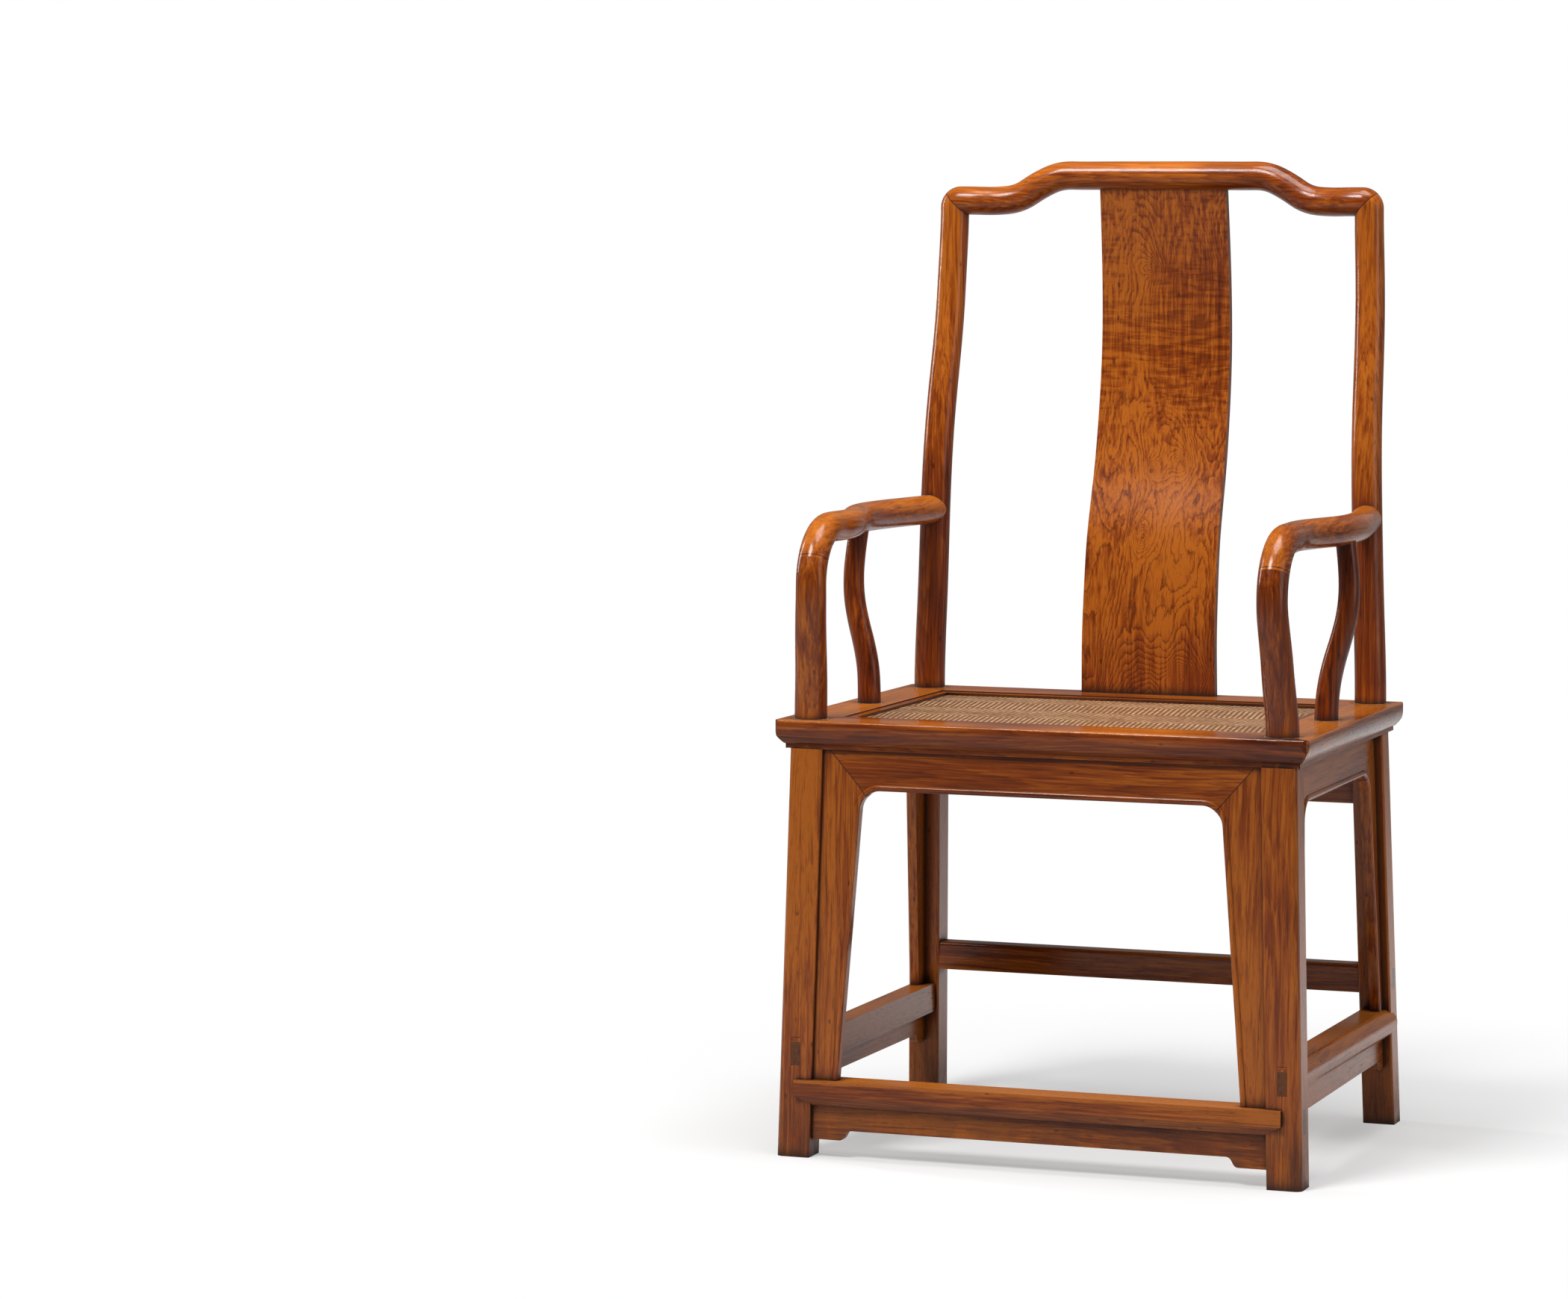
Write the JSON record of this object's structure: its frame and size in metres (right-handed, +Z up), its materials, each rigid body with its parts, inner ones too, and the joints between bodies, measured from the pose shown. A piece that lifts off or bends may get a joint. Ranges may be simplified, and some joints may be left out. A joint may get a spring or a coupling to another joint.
{
  "type": "armchair",
  "caption": "Tall armchair with square-to-round legs, cane seat, curved pipe-jointed arms, S-shaped back splat and humped crest rail mitred to the stiles.",
  "frame": {"origin": "on the floor under the middle of the chair's outer box", "axes": "+Z up, the chair faces -Y, +X is to the right of someone looking at the front"},
  "size_m": [0.6228, 0.5228, 1.1305],
  "materials": {
    "rosewood": "waxed and polished rosewood with fine dark grain",
    "figured_rosewood": "polished rosewood board with curl and burl figure",
    "cane": "soft twill-woven cane matting",
    "palm_fibre": "coarse palm-fibre webbing under the cane"
  },
  "bodies": {
    "root": {"front_leg_left": "rosewood", "front_leg_right": "rosewood", "rear_leg_left": "rosewood", "rear_leg_right": "rosewood", "arm_left": "rosewood", "arm_right": "rosewood", "arm_strut_left": "rosewood", "arm_strut_right": "rosewood", "crest_rail": "rosewood", "seat_rail_front": "rosewood", "seat_rail_rear": "rosewood", "seat_end_left": "rosewood", "seat_end_right": "rosewood", "cane_strip_front": "rosewood", "cane_strip_rear": "rosewood", "cane_strip_left": "rosewood", "cane_strip_right": "rosewood", "seat_brace_left": "rosewood", "seat_brace_right": "rosewood", "front_apron_top": "rosewood", "front_apron_left": "rosewood", "front_apron_right": "rosewood", "side_apron_top_left": "rosewood", "side_apron_top_right": "rosewood", "side_apron_front_left": "rosewood", "side_apron_front_right": "rosewood", "side_apron_rear_left": "rosewood", "side_apron_rear_right": "rosewood", "rear_apron": "rosewood", "footrest": "rosewood", "footrest_apron": "rosewood", "side_stretcher_left": "rosewood", "side_stretcher_right": "rosewood", "side_stretcher_apron_left": "rosewood", "side_stretcher_apron_right": "rosewood", "rear_stretcher": "rosewood", "tenon_wedges": "rosewood", "splat": "figured_rosewood", "seat_cane": "cane", "seat_webbing": "palm_fibre"}
  },
  "joints": []
}
